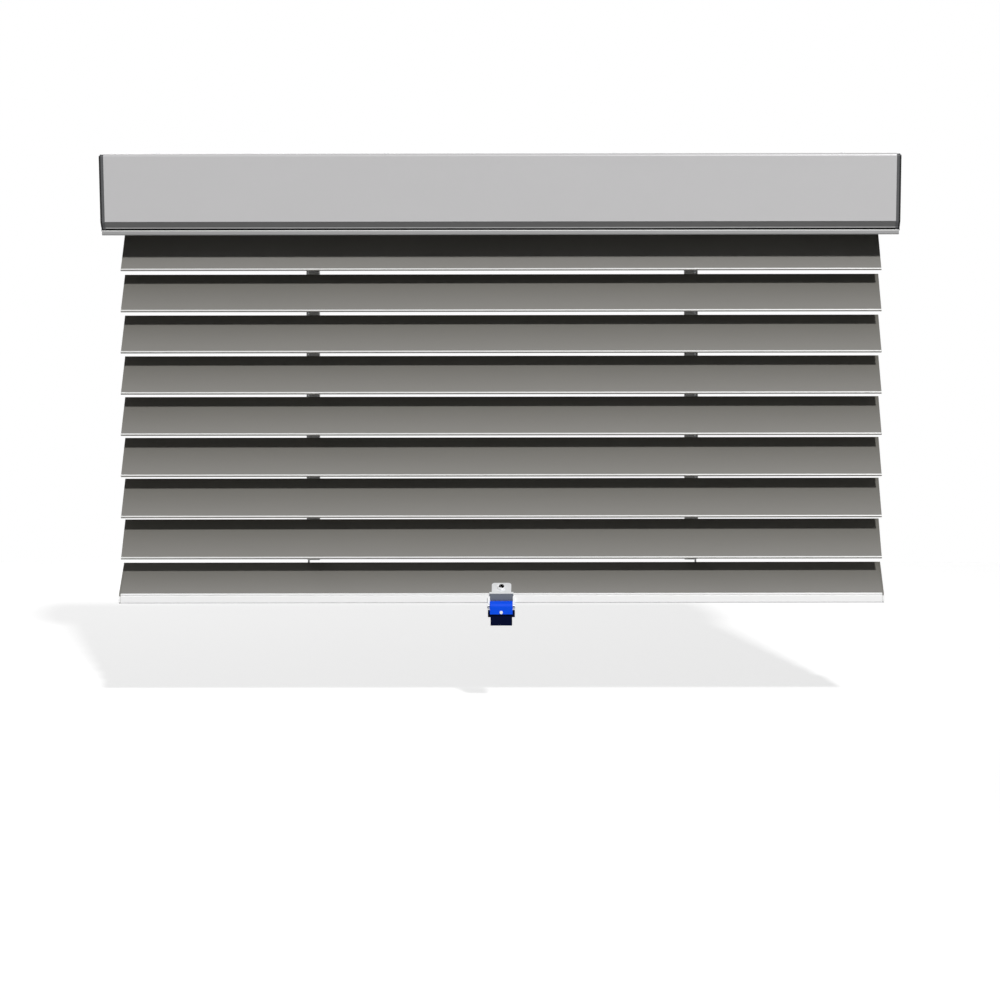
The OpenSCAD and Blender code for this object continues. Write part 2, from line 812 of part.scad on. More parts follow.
module slat_hinges(k) {
    color(steel) at_pivot(k) rotate([slat_tilt, 0, 0]) both_sides() slat_hinge();
}

// Block on the lift tape with the hinge pin, around its pivot
module carrier() {
    rod(carrier_in, carrier_out, [0, 0], carrier_h / 2);
    translate([carrier_in, 0, -carrier_h / 2]) cube([carrier_w, carrier_back, carrier_h]);
    rod(carrier_out - eps, ear_out + tape_gap + eps, [0, 0], pin_d / 2);
    rod(ear_out + tape_gap, ear_out + tape_gap + pin_head_l, [0, 0], pin_head_r);
}

module slat_carriers(k) {
    color(tape_grey) at_pivot(k) both_sides() carrier();
}

module rail_carriers() {
    color(tape_grey) at_rail() both_sides() carrier();
}

module rail_hinges() {
    arm_start = [pin_d * 0.4, 0];
    arm_end = rail_foot_start + spine_dir * 3 + spine_out * (rail_foot_wall + 0.2);
    foot = [
        rail_foot_start,
        rail_foot_end,
        rail_foot_end + spine_out * rail_foot_wall,
        rail_foot_start + spine_out * rail_foot_wall];
    color(steel) at_rail() both_sides() difference() {
        union() {
            rod(ear_in, ear_out, [0, 0], ear_r);
            along_x(ear_in, ear_out) polygon(bar(arm_start, arm_end, lever_t));
            along_x(ear_mid - foot_w / 2, ear_mid + foot_w / 2) polygon(foot);
            lever(lever_at_rest);
        }
        rod(ear_in - 1, ear_out + 1, [0, 0], pin_d / 2 + run_clear);
    }
}

module bottom_slat() {
    half = slat_l / 2;
    color(slat_grey) at_rail() along_x(-half, half)
        polygon([rail_back, rail_nose, rail_skin_nose, rail_skin_back]);
}

module bottom_rail() {
    half = slat_l / 2;
    color(bright_alu) at_rail() difference() {
        union() {
            along_x(-half, half) polygon(rail_section);
            rod(-half, half, rail_bead_at, rail_bead_r);
        }
        along_x(-half - eps, half + eps) polygon(within(rail_hollow_outline, rail_wall));
    }
}

module rail_weight() {
    color(steel) at_rail() rod(-slat_l / 2 + 10, slat_l / 2 - 10, weight_at, weight_d / 2);
}

module rail_end_caps() {
    outline = concat([rail_back, rail_nose], [for (i = [4:8]) rail_section[i]]);
    color(slat_grey) at_rail() both_sides()
        along_x(slat_l / 2, slat_l / 2 + rail_cap_t) polygon(outline);
}

// Bent plate over the rail's nose with two cheeks that hold the pin
module grip_bracket() {
    slope = atan2(-rail_dir[1], -rail_dir[0]);
    flat = plate_l - plate_r;
    color(steel) at_rail() difference() {
        union() {
            translate([0, bracket_start[0], bracket_start[1]]) rotate([slope, 0, 0]) {
                translate([-plate_w / 2, -plate_l, 0]) cube([plate_w, flat, plate_t]);
                translate([-plate_w / 2 + plate_r, -plate_l, 0]) cube([plate_w - 2 * plate_r, plate_l, plate_t]);
                for (x = [-1, 1] * (plate_w / 2 - plate_r))
                    translate([x, -plate_r, 0]) cylinder(h = plate_t, r = plate_r);
            }
            along_x(-leaf_half, leaf_half) polygon(sheet(
                [bracket_end, bracket_corner, bracket_corner - rail_dir * 3], plate_t));
            both_sides() {
                along_x(cheek_in, cheek_out)
                    polygon(bar(bracket_corner - [plate_t / 2, leaf_h - 5], grip_pin_at, 2 * cheek_r - 1));
                rod(cheek_in, cheek_out, grip_pin_at, cheek_r);
            }
        }
        rod(-cheek_out - 1, cheek_out + 1, grip_pin_at, grip_pin_d / 2 + run_clear);
        translate([0, screw_at[0], screw_at[1]]) rotate([slope, 0, 0])
            translate([0, 0, -1]) cylinder(h = plate_t + 2, r = port_screw_d / 2 + run_clear);
        along_x(-cheek_out - 1, cheek_out + 1) polygon([
            bracket_corner,
            [rail_front_y, lip_low - grip_clear],
            rail_heel - [0, grip_clear],
            rail_skin_nose]);
    }
}

// Pan head screw of the bracket with a cross recess
module grip_screw() {
    slope = atan2(-rail_dir[1], -rail_dir[0]);
    head_h = 3.6;
    recess = 7;
    color(steel) at_rail() translate([0, screw_at[0], screw_at[1]]) rotate([slope, 0, 0]) difference() {
        union() {
            translate([0, 0, plate_t]) cylinder(h = head_h / 2, r = screw_head_d / 2);
            translate([0, 0, plate_t + head_h / 2 - eps])
                cylinder(h = head_h / 2, r1 = screw_head_d / 2, r2 = screw_head_d / 3);
            cylinder(h = plate_t + eps, r = port_screw_d / 2);
        }
        for (turn = [45, 135])
            translate([0, 0, plate_t + head_h - 0.5]) rotate([0, 0, turn])
                cube([recess, 1.6, 2], center = true);
    }
}

module grip_pin() {
    head_l = 1.2;
    color(steel) at_rail() {
        rod(-cheek_out, cheek_out, grip_pin_at, grip_pin_d / 2);
        both_sides() rod(cheek_out, cheek_out + head_l, grip_pin_at, grip_pin_d / 2 + 1.2);
    }
}

// Blue grip: a barrel on the pin and a tapering front shell below it
module pull_grip() {
    half = grip_w / 2;
    color(grip_blue) at_rail() difference() {
        union() {
            rod(-half, half, grip_pin_at, grip_d / 2);
            along_x(-half, half) polygon([
                [grip_front_y, grip_pin_at[1]],
                [grip_back_y, grip_pin_at[1]],
                [grip_back_y, grip_low],
                [grip_front_y + grip_taper, grip_low]]);
        }
        translate([-half - 1, collar_face, grip_low - 1])
            cube([grip_w + 2, grip_d, collar_top + grip_clear - grip_low + 1]);
        rod(-half - 1, half + 1, grip_pin_at, grip_pin_d / 2 + run_clear);
        rod_y(grip_front_y - 5, collar_face + 1, [0, rivet_z], rivet_d / 4 + run_clear);
    }
}

// Dark tongue: a wide collar behind the grip and a narrower block below
module grip_tongue() {
    depth = grip_back_y - collar_face - 1;
    color(tongue_navy) at_rail() difference() {
        union() {
            translate([-collar_w / 2, collar_face, collar_low]) cube([collar_w, depth, collar_h]);
            along_x(-tongue_w / 2, tongue_w / 2) polygon([
                [collar_face - 4, collar_low],
                [collar_face - 4, grip_low],
                [collar_face, grip_low],
                [collar_face, collar_low],
                [collar_face + depth, collar_low],
                [collar_face + depth - 2, collar_low - tongue_h],
                [collar_face - 2, collar_low - tongue_h]]);
        }
        rod_y(collar_face - 1, collar_face + depth / 2, [0, rivet_z], rivet_d / 4 + run_clear);
    }
}

module grip_rivet() {
    face = grip_front_y + grip_taper * (grip_pin_at[1] - rivet_z - rivet_d / 2) / grip_h;
    color(bright_alu) at_rail() {
        rod_y(face - 1, face, [0, rivet_z], rivet_d / 2);
        rod_y(face - eps, collar_face + 2, [0, rivet_z], rivet_d / 4);
    }
}

back_plate();
top_panel();
front_cover();
cover_seal();
bottom_profile();
lip_brackets();
end_cap_left();
end_cap_right();
end_cap_screws();
cover_screws();
cable_grommet();
head_rail();
rail_hangers();
hanger_bolts();
motor();
bearing_blocks();
drive_shafts();
shaft_couplers();
tape_spools();
tilt_arms();
lift_tapes();
tilt_tapes();
for (k = [1:slat_count]) {
    slat(k);
    slat_hinges(k);
    slat_carriers(k);
}
rail_carriers();
rail_hinges();
bottom_slat();
bottom_rail();
rail_weight();
rail_end_caps();
grip_bracket();
grip_screw();
grip_pin();
pull_grip();
grip_tongue();
grip_rivet();
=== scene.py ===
"""Looks of an exterior slat blind: softened edges, finishes, woven tapes and a plain studio."""

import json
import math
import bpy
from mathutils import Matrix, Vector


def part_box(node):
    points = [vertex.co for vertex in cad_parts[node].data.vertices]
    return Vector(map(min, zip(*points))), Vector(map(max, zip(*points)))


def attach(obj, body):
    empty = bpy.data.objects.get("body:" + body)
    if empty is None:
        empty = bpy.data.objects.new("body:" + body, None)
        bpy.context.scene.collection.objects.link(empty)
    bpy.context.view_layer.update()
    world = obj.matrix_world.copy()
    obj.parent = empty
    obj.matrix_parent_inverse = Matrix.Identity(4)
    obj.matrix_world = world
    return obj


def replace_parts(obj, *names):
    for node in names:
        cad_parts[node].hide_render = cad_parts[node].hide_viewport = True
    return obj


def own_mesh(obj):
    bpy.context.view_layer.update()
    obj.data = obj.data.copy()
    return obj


bl_info = {
    "name": "Exterior slat blind",
    "version": (1, 0, 0),
    "blender": (4, 5, 0),
    "location": "View3D > Sidebar > Blind",
    "description": "Builds the looks of an exterior slat blind around its CAD frame",
    "category": "Object",
}

from functools import partial

import bmesh
import bpy
from mathutils import Matrix, Vector

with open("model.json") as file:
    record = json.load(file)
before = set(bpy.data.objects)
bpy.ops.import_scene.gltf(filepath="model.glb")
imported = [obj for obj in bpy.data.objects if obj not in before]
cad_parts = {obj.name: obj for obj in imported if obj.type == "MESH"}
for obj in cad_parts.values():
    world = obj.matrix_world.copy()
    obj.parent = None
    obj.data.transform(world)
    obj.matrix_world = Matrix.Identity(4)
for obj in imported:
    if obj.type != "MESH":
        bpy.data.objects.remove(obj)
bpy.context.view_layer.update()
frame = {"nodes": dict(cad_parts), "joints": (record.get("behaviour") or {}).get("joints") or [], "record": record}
BODY_OF = {n: b for b, ns in frame["record"]["behaviour"]["bodies"].items() for n in ns}
SLOT_OF = {s["node"]: s["material_slot"] for s in frame["record"]["subparts"]}
SLATS = range(1, 9)

# Edges: points closer than this are one, and angles between faces
MERGE_DISTANCE = 2e-6
FLAT_ANGLE = math.radians(0.5)
SHARP_ANGLE = math.radians(28)
CREASE_ANGLE = math.radians(40)

# How far a face's normal leans to one side before the face takes another finish. By this lean the chamfer, the
# front and underside of the lip and partly the grip's leaf get painted shade, and the nose and, in part, the
# rolled edges a painted highlight
CHAMFER_SHADE_LEAN = 0.4
LIP_SHADE_RISE = 0.35
NOSE_HIGHLIGHT_LEAN = 0.2
CAP_LEAN = 0.3
FLAT_FRONT = 0.95
ROLL_HIGHLIGHT_RISE = 0.05

# Section of a tape: border as a share of the width, the rest as shares of the thickness
TAPE_BORDER = 0.12
TAPE_EDGE = 0.6
TAPE_MIDDLE = 0.7
TAPE_STEPS = 160

# Stage
FLOOR_REACH = 6.0
FLOOR_BACK = 2.4
FLOOR_GREY = 0.5
FLOOR_ROUGHNESS = 0.9
FILM_WIDTH = 36
LAMP_TARGET = (0, -0.1, -0.32)
LAMPS = {
    "key": {"place": (3.2, -14.0, 9.1), "size": 0.8},
    "fill": {"place": (2.6, -3.4, 0.3), "size": 2.4},
    "back": {"place": (-2.2, 3.2, 3.2), "size": 2.4},
}


# Materials


class NodeTree:
    """A shader tree whose nodes all come from one method."""

    def __init__(self, tree):
        self.tree = tree

    def feed(self, socket, value):
        """Gives a socket a value, or a link from a wire."""
        if isinstance(value, Wire):
            self.tree.links.new(value.socket, socket)
        else:
            socket.default_value = value

    def add(self, kind, output, settings=None, sockets=None):
        """Adds a node with its settings and then its sockets, and gives one output."""
        node = self.tree.nodes.new(kind)
        for name, value in (settings or {}).items():
            setattr(node, name, value)
        for name, value in (sockets or {}).items():
            self.feed(node.inputs[name], value)
        return Wire(self, node.outputs[output])

    def mix(self, low, high, share):
        """A colour between two colours."""
        sockets = {"A": (*low, 1), "B": (*high, 1), "Factor": share}
        return self.add("ShaderNodeMix", "Result", {"data_type": "RGBA"}, sockets)


class Wire:
    """A shader socket that can be used in sums."""

    def __init__(self, tree, socket):
        self.tree = tree
        self.socket = socket

    def maths(self, operation, *values):
        settings = {"operation": operation}
        return self.tree.add("ShaderNodeMath", 0, settings, dict(enumerate(values)))

    def __add__(self, other):
        return self.maths("ADD", self, other)

    __radd__ = __add__

    def __mul__(self, other):
        return self.maths("MULTIPLY", self, other)

    __rmul__ = __mul__

    def __sub__(self, other):
        return self.maths("SUBTRACT", self, other)

    def __rsub__(self, other):
        return self.maths("SUBTRACT", other, self)

    def sine(self):
        return self.maths("SINE", self)

    def greatest(self, other):
        return self.maths("MAXIMUM", self, other)


class Finish(NodeTree):
    """A new material with a Principled shader."""

    def __init__(self, name, roughness, metallic=0.0, gloss=0.5):
        self.material = bpy.data.materials.new(name)
        self.material.use_nodes = True
        super().__init__(self.material.node_tree)
        self.shader = self.tree.nodes["Principled BSDF"].inputs
        self.feed(self.shader["Roughness"], roughness)
        self.feed(self.shader["Metallic"], metallic)
        self.feed(self.shader["Specular IOR Level"], gloss)

    def place(self, kind="Object"):
        """The piece's own coordinates, or its UV map."""
        return self.add("ShaderNodeTexCoord", kind)

    def axis(self, letter, kind="Object"):
        return self.add("ShaderNodeSeparateXYZ", letter, sockets={"Vector": self.place(kind)})

    def noise(self, scale, stretch=(1, 1, 1), detail=3.0):
        sockets = {"Scale": stretch, "Vector": self.place()}
        stretched = self.add("ShaderNodeMapping", "Vector", sockets=sockets)
        sockets = {"Scale": scale, "Detail": detail, "Vector": stretched}
        return self.add("ShaderNodeTexNoise", "Fac", sockets=sockets)

    def colour(self, low, high, pattern):
        self.feed(self.shader["Base Color"], self.mix(low, high, pattern))

    def roughness(self, middle, spread, pattern):
        self.feed(self.shader["Roughness"], middle - spread / 2 + spread * pattern)

    def bump(self, pattern, height, strength):
        sockets = {"Distance": height, "Strength": strength, "Height": pattern}
        self.feed(self.shader["Normal"], self.add("ShaderNodeBump", "Normal", sockets=sockets))


def shade(colour, factor):
    return tuple(min(1.0, c * factor) for c in colour)


def grey(level):
    return (level, level, level)


def orange_peel(finish):
    """The faint dimples of powder paint."""
    finish.bump(finish.noise(scale=900.0, detail=1.0), height=0.00004, strength=0.5)


def paint(name, colour, roughness, spread=0.04):
    """Powder paint: a faint orange peel and a little unevenness."""
    finish = Finish(name, roughness)
    cloud = finish.noise(scale=6.0, stretch=(1, 3, 3))
    finish.colour(shade(colour, 1 - spread), shade(colour, 1 + spread), cloud)
    finish.roughness(roughness, spread=0.02, pattern=finish.noise(scale=40.0))
    orange_peel(finish)
    return finish.material


def slat_coat(name, colour, roughness, gloss, spread=0.08):
    """Paint of a slat with painted shade: darker towards the back edge, where the slat above shades it; UV runs
    down the slat.
    """
    finish = Finish(name, roughness, gloss=gloss)
    painted_shade = bpy.context.scene.blind_colours.slat_shelter
    cloud = finish.noise(scale=5.0, stretch=(1, 4, 4))
    # Painted shade: the colour runs from the dark back edge to the front edge, with a little random tone
    run = finish.axis("Y", "UV") + spread * cloud - spread / 2
    finish.colour(painted_shade, colour, run)
    finish.roughness(roughness, spread=0.1, pattern=finish.noise(scale=40.0))
    orange_peel(finish)
    return finish.material


def metal(name, colour, roughness, metallic=1.0):
    """Bare or plated metal with a fine grain along one axis."""
    finish = Finish(name, roughness, metallic=metallic)
    lines = finish.noise(scale=60.0, stretch=(1, 30, 30))
    finish.colour(shade(colour, 0.93), shade(colour, 1.05), lines)
    finish.roughness(roughness, spread=0.12, pattern=lines)
    finish.bump(lines, height=0.00003, strength=0.4)
    return finish.material


def plastic(name, colour, roughness, gloss=0.5):
    """Moulded plastic with a fine surface grain."""
    finish = Finish(name, roughness, gloss=gloss)
    cloud = finish.noise(scale=30.0)
    finish.colour(shade(colour, 0.96), shade(colour, 1.04), cloud)
    finish.roughness(roughness, spread=0.08, pattern=finish.noise(scale=120.0))
    finish.bump(finish.noise(scale=700.0, detail=1.0), height=0.00003, strength=0.4)
    return finish.material


def cloth(name, colour, roughness, threads, weft_share=0.7):
    """Woven tape: warp and weft from two sines."""
    finish = Finish(name, roughness)
    warp = (finish.axis("X") * threads).sine()
    weft = (finish.axis("Z") * threads * weft_share).sine()
    weave = 0.5 + 0.5 * warp * weft
    finish.colour(shade(colour, 0.82), shade(colour, 1.06), weave)
    finish.bump(weave, height=0.0001, strength=0.6)
    return finish.material


RECIPES = {
    "silver_paint": partial(paint, roughness=0.28, spread=0.012),
    "slat_paint": partial(slat_coat, roughness=0.5, gloss=0.12),
    "chamfer_paint": partial(paint, roughness=0.5),
    "bead_paint": partial(paint, roughness=0.5),
    "lip_paint": partial(paint, roughness=0.45),
    "bright_edge": partial(paint, roughness=0.3, spread=0.01),
    "cap_plastic": partial(plastic, roughness=0.5, gloss=0.2),
    "cap_face": partial(plastic, roughness=0.5, gloss=0.2),
    "seal_rubber": partial(plastic, roughness=0.8, gloss=0.02),
    "zinc_steel": partial(metal, roughness=0.4, metallic=0.25),
    "dull_steel": partial(metal, roughness=0.4, metallic=0.3),
    "head_alu": partial(metal, roughness=0.38),
    "motor_case": partial(paint, roughness=0.45),
    "rail_alu": partial(paint, roughness=0.35, spread=0.01),
    "link_plastic": partial(plastic, roughness=0.5),
    "tape_cloth": partial(cloth, roughness=0.85, threads=5200.0),
    "grip_blue": partial(plastic, roughness=0.5, gloss=0.12),
    "tongue_navy": partial(plastic, roughness=0.5, gloss=0.04),
}


def finish_of(slot):
    """The material of a slot, made the first time that it is asked for."""
    name = slot + "_look"
    if name not in bpy.data.materials:
        colour = getattr(bpy.context.scene.blind_colours, slot)
        RECIPES[slot](name, colour)
    return bpy.data.materials[name]


# Meshes


def mesh_of(name, bm):
    """A mesh from a bmesh, which is used up."""
    mesh = bpy.data.meshes.new(name)
    bm.to_mesh(mesh)
    bm.free()
    return mesh


def piece(name, mesh, body):
    """Links a mesh as a piece that rides on a CAD body."""
    made = bpy.data.objects.new(name, mesh)
    bpy.context.scene.collection.objects.link(made)
    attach(made, body)
    return made


def turns(edge, angle):
    """True where the two faces at an edge turn by more than an angle."""
    return edge.is_manifold and edge.calc_face_angle(0.0) > angle


def rounded(source, width, segments):
    """A bmesh copy of a CAD mesh with its sharp edges rounded off."""
    bm = bmesh.new()
    bm.from_mesh(source)
    bmesh.ops.remove_doubles(bm, verts=bm.verts, dist=MERGE_DISTANCE)
    bmesh.ops.dissolve_limit(bm, angle_limit=FLAT_ANGLE, verts=bm.verts, edges=bm.edges)
    bmesh.ops.bevel(
        bm,
        geom=[edge for edge in bm.edges if turns(edge, SHARP_ANGLE)],
        offset=width,
        offset_type="OFFSET",
        affect="EDGES",
        segments=segments,
        profile=0.5,
        material=-1,
        clamp_overlap=True,
    )
    return bm


def split_across(bm, place):
    """Splits the faces that cross a place along X."""
    whole = bm.verts[:] + bm.edges[:] + bm.faces[:]
    bmesh.ops.bisect_plane(bm, geom=whole, plane_co=(place, 0, 0), plane_no=(1, 0, 0))


def softened(node, width, segments=2, trims=(), cuts=()):
    """A piece with the CAD node's shape and its sharp edges rounded off.

    trims gives (finish, test on a face) pairs for faces of another finish,
    and cuts the places along X where a face is split for them.
    """
    bm = rounded(frame["nodes"][node].data, width, segments)
    for place in cuts:
        split_across(bm, place)
    for face in bm.faces:
        face.smooth = True
        fits = [i for i, (finish, test) in enumerate(trims, 1) if test(face)]
        face.material_index = fits[0] if fits else 0
    for edge in bm.edges:
        edge.smooth = not turns(edge, CREASE_ANGLE)
    mesh = mesh_of(node + "_soft", bm)
    mesh.materials.append(finish_of(SLOT_OF[node]))
    for finish, test in trims:
        mesh.materials.append(finish_of(finish))
    made = piece(node + "_look", mesh, BODY_OF[node])
    normals = made.modifiers.new("Normals", "WEIGHTED_NORMAL")
    normals.keep_sharp = True
    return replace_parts(made, node)


def off_middle(face):
    """How far a face lies left or right of the blind's middle."""
    return abs(face.calc_center_median().x)


def distance(face, place):
    """How far a face lies from a place."""
    return (face.calc_center_median() - place).length


def slope_of(node):
    """The direction down a slat, from its back edge to its front edge."""
    low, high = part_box(node)
    return Vector((0, low.y - high.y, low.z - high.z)).normalized()


def rolled_edge_highlight(node, slope, width):
    """A test for the upward faces of a slat's rolled front edge, which take bright paint: partly a lighter edge,
    partly a painted highlight.
    """
    end = max(vertex.co.dot(slope) for vertex in frame["nodes"][node].data.vertices)
    start = end - width
    return lambda face: face.calc_center_median().dot(slope) > start and face.normal.z > ROLL_HIGHLIGHT_RISE


def run_down(mesh, slope):
    """UV map whose V runs from 0 to 1 along a direction."""
    places = [vertex.co.dot(slope) for vertex in mesh.vertices]
    start, length = min(places), max(places) - min(places)
    layer = mesh.uv_layers.new(name="run")
    for loop, spot in zip(mesh.loops, layer.data):
        spot.uv = (0, (places[loop.vertex_index] - start) / length)


def dress(*nodes):
    """Gives CAD nodes their own finish."""
    for node in nodes:
        mesh = frame["nodes"][node].data
        mesh.materials.clear()
        mesh.materials.append(finish_of(SLOT_OF[node]))


def tape_corners(node, side):
    """The corners of the tape on one side of a pair."""
    low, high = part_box(node)
    inner = min(v.co.x for v in frame["nodes"][node].data.vertices if v.co.x > 0)
    left, right = sorted((side * inner, side * high.x))
    return Vector((left, low.y, low.z)), Vector((right, high.y, high.z))


def tape_section(low, high):
    """The outline of a flat tape with soft thicker borders."""
    middle = (low.y + high.y) / 2
    half = (high.y - low.y) / 2
    border = (high.x - low.x) * TAPE_BORDER
    depths = (
        (low.x, TAPE_EDGE),
        (low.x + border / 2, 1),
        (low.x + border, TAPE_MIDDLE),
        (high.x - border, TAPE_MIDDLE),
        (high.x - border / 2, 1),
        (high.x, TAPE_EDGE),
    )
    front = [(x, middle - half * depth) for x, depth in depths]
    back = [(x, middle + half * depth) for x, depth in reversed(depths)]
    return front + back


def woven_strip(name, low, high):
    """A flat tape between two corners, cut into steps along Z."""
    bm = bmesh.new()
    foot = bm.faces.new([bm.verts.new((x, y, low.z)) for x, y in tape_section(low, high)])
    raised = bmesh.ops.extrude_face_region(bm, geom=[foot])["geom"]
    top = [part for part in raised if isinstance(part, bmesh.types.BMVert)]
    bmesh.ops.translate(bm, verts=top, vec=(0, 0, high.z - low.z))
    uprights = [edge for edge in bm.edges if edge.verts[0].co.z != edge.verts[1].co.z]
    bmesh.ops.subdivide_edges(bm, edges=uprights, cuts=TAPE_STEPS - 1)
    bmesh.ops.recalc_face_normals(bm, faces=bm.faces)
    for face in bm.faces:
        face.smooth = True
    return mesh_of(name, bm)


# Settings


def metres(name, description, default):
    """A length in metres."""
    return bpy.props.FloatProperty(
        name=name, description=description, default=default, unit="LENGTH"
    )


def number(name, description, default, unit="NONE", subtype="NONE"):
    """A plain number, or one with a unit or subtype of its own."""
    return bpy.props.FloatProperty(
        name=name, description=description, default=default, unit=unit, subtype=subtype
    )


def tint(name, description, default):
    """A colour."""
    return bpy.props.FloatVectorProperty(
        name=name, description=description, default=default, subtype="COLOR", min=0, max=1
    )


class BlindLook(bpy.types.PropertyGroup):
    """Sizes of the rounded edges and of the trims."""

    sheet_edge: metres("Sheet edge", "Rounding of sheet metal edges", 0.0003)
    moulded_edge: metres("Moulded edge", "Rounding of moulded pieces", 0.0008)
    grip_edge: metres("Grip edge", "Rounding of the pull grip", 0.0014)
    cover_bead: metres("Cover bead", "Height of the bead under the cover's chamfer", 0.0022)
    cap_rim: metres("Cap rim", "Width of the dark rim around an end cap", 0.0034)
    # Reach of the painted shade in the grip's screw recess
    screw_recess: metres("Screw recess", "Reach of the recess in the grip's screw", 0.0034)
    bead_band: metres("Bright edge", "Width of the bright front edge of a slat", 0.0036)


class BlindColours(bpy.types.PropertyGroup):
    """Colours of the finishes."""

    silver_paint: tint("Box paint", "Panels of the head box", (0.55, 0.545, 0.55))
    slat_paint: tint("Slat paint", "Slats at their front edge", (0.252, 0.245, 0.23))
    # The slats' back-edge colour is painted shade from the slat above
    slat_shelter: tint("Sheltered slat", "Slats at their back edge", (0.132, 0.127, 0.111))
    # Dark paint of the chamfer: partly a dark trim, partly painted shade
    chamfer_paint: tint("Chamfer", "Chamfer of the cover", (0.12, 0.12, 0.12))
    bead_paint: tint("Bead", "Bead under the cover's chamfer", (0.26, 0.26, 0.26))
    # Painted shade on the front and underside of the bottom profile
    lip_paint: tint("Lip", "Front and underside of the bottom profile", (0.31, 0.31, 0.31))
    # Bright paint on the upward faces of the slats' rolled edges and of the profile's nose: partly a lighter edge
    # on the slats, a painted highlight on both
    bright_edge: tint("Bright edge", "Rolled edges and nose", (0.78, 0.78, 0.77))
    cap_plastic: tint("Cap rim", "Rims of the end caps", (0.014, 0.014, 0.015))
    cap_face: tint("Cap face", "Front faces of the end caps", (0.105, 0.106, 0.11))
    # Near-black of the seal: partly a black rubber seal, partly painted shadow of the gap under the cover; it also
    # paints the screw recess
    seal_rubber: tint("Seal", "Seal under the cover", (0.004, 0.004, 0.004))
    zinc_steel: tint("Zinc", "Plated brackets, pins and screws", (0.80, 0.81, 0.82))
    # Dark blue-grey of the bracket's leaf: partly dull steel, partly painted shade
    dull_steel: tint("Dull steel", "Front leaf of the grip's bracket", (0.125, 0.14, 0.17))
    head_alu: tint("Head rail", "Bare metal inside the head box", (0.66, 0.67, 0.69))
    motor_case: tint("Motor", "Case of the motor", (0.10, 0.105, 0.115))
    rail_alu: tint("Rail", "Lip of the bottom rail", (0.92, 0.92, 0.92))
    link_plastic: tint("Links", "Carriers and hinges", (0.42, 0.42, 0.41))
    tape_cloth: tint("Tape", "Lift and tilt tapes", (0.46, 0.46, 0.45))
    grip_blue: tint("Grip", "Pull grip", (0.001, 0.08, 0.84))
    # Dark navy of the tongue: partly its own colour, partly painted shade of the blue grip above it
    tongue_navy: tint("Tongue", "Tongue of the grip", (0.001, 0.003, 0.022))


class BlindStage(bpy.types.PropertyGroup):
    """Camera, light and floor."""

    eye_height: metres("Eye height", "Height of the camera", -0.183)
    eye_distance: metres("Eye distance", "Distance of the camera from the wall", 4.564)
    eye_side: metres("Eye side", "Distance of the camera right of the middle", 0.1)
    lens: number("Lens", "Focal length in millimetres", 92.0, unit="CAMERA")
    rise: number("Lens rise", "Vertical lens shift", -0.2)
    slide: number("Lens slide", "Sideways lens shift", -0.0583)
    roll: number("Roll", "Turn of the camera about its view", math.radians(0.08), subtype="ANGLE")
    floor_height: metres("Floor height", "Height of the studio floor", -0.90)
    floor_glow: number("Floor white", "Level that the floor shows besides its light", 0.64)
    key_power: number("Key light", "Power of the key light", 2560.0, unit="POWER")
    back_power: number("Back light", "Power of the back light", 90.0, unit="POWER")
    fill_power: number("Fill light", "Power of the fill light", 4.0, unit="POWER")
    ambient: number("Ambient", "Strength of the surrounding light", 0.02)


# Pieces


class BLIND_OT_head_box(bpy.types.Operator):
    """Builds the head box's cover, panels, caps, seal and screws"""

    bl_idname = "blind.head_box"
    bl_label = "Head box"

    def execute(self, context):
        look = context.scene.blind_look
        self.cover(look)
        self.profile(look)
        # The cover seal takes the near-black seal colour, which stands partly for painted shadow of the gap under
        # the cover
        for node in ("top_panel", "back_plate", "cover_seal"):
            softened(node, look.sheet_edge)
        self.caps(look)
        for node in ("cover_screws", "end_cap_screws", "lip_brackets", "cable_grommet"):
            softened(node, look.sheet_edge)
        return {"FINISHED"}

    def cover(self, look):
        bead_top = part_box("front_cover")[0].z + look.cover_bead
        # The chamfer's faces that look down and forward take dark paint: partly a dark trim, partly painted shade
        chamfer = ("chamfer_paint", lambda face: max(face.normal.yz) < -CHAMFER_SHADE_LEAN)
        bead = ("bead_paint", lambda face: face.calc_center_median().z < bead_top)
        softened("front_cover", look.sheet_edge, trims=(chamfer, bead))

    def profile(self, look):
        # Painted shade on the profile's faces that do not look up (its front and underside), and a painted
        # highlight on the upper front of its nose
        under = ("lip_paint", lambda face: face.normal.z < LIP_SHADE_RISE)
        nose = ("bright_edge", lambda face: face.normal.y < -NOSE_HIGHLIGHT_LEAN)
        softened("bottom_profile", look.sheet_edge, trims=(under, nose))

    def caps(self, look):
        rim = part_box("end_cap_right")[1].x - look.cap_rim
        front = ("cap_face", lambda face: face.normal.y < -CAP_LEAN and off_middle(face) < rim)
        softened("end_cap_left", look.sheet_edge, trims=(front,), cuts=(-rim,))
        softened("end_cap_right", look.sheet_edge, trims=(front,), cuts=(rim,))


class BLIND_OT_slats(bpy.types.Operator):
    """Builds the slats, with painted shade towards their back edges and bright paint on their rolled front edges,
    partly a painted highlight
    """

    bl_idname = "blind.slats"
    bl_label = "Slats"

    def execute(self, context):
        look = context.scene.blind_look
        for k in SLATS:
            node = f"slat_{k}"
            slope = slope_of(node)
            # Bright paint on the upward faces of the rolled edge: partly a lighter edge finish, partly a painted
            # highlight
            edge = ("bright_edge", rolled_edge_highlight(node, slope, look.bead_band))
            made = softened(node, look.sheet_edge, trims=(edge,))
            # UV for the painted shade that darkens each slat towards its back edge
            run_down(made.data, slope)
            dress(f"slat_hinges_{k}", f"slat_carriers_{k}")
        return {"FINISHED"}


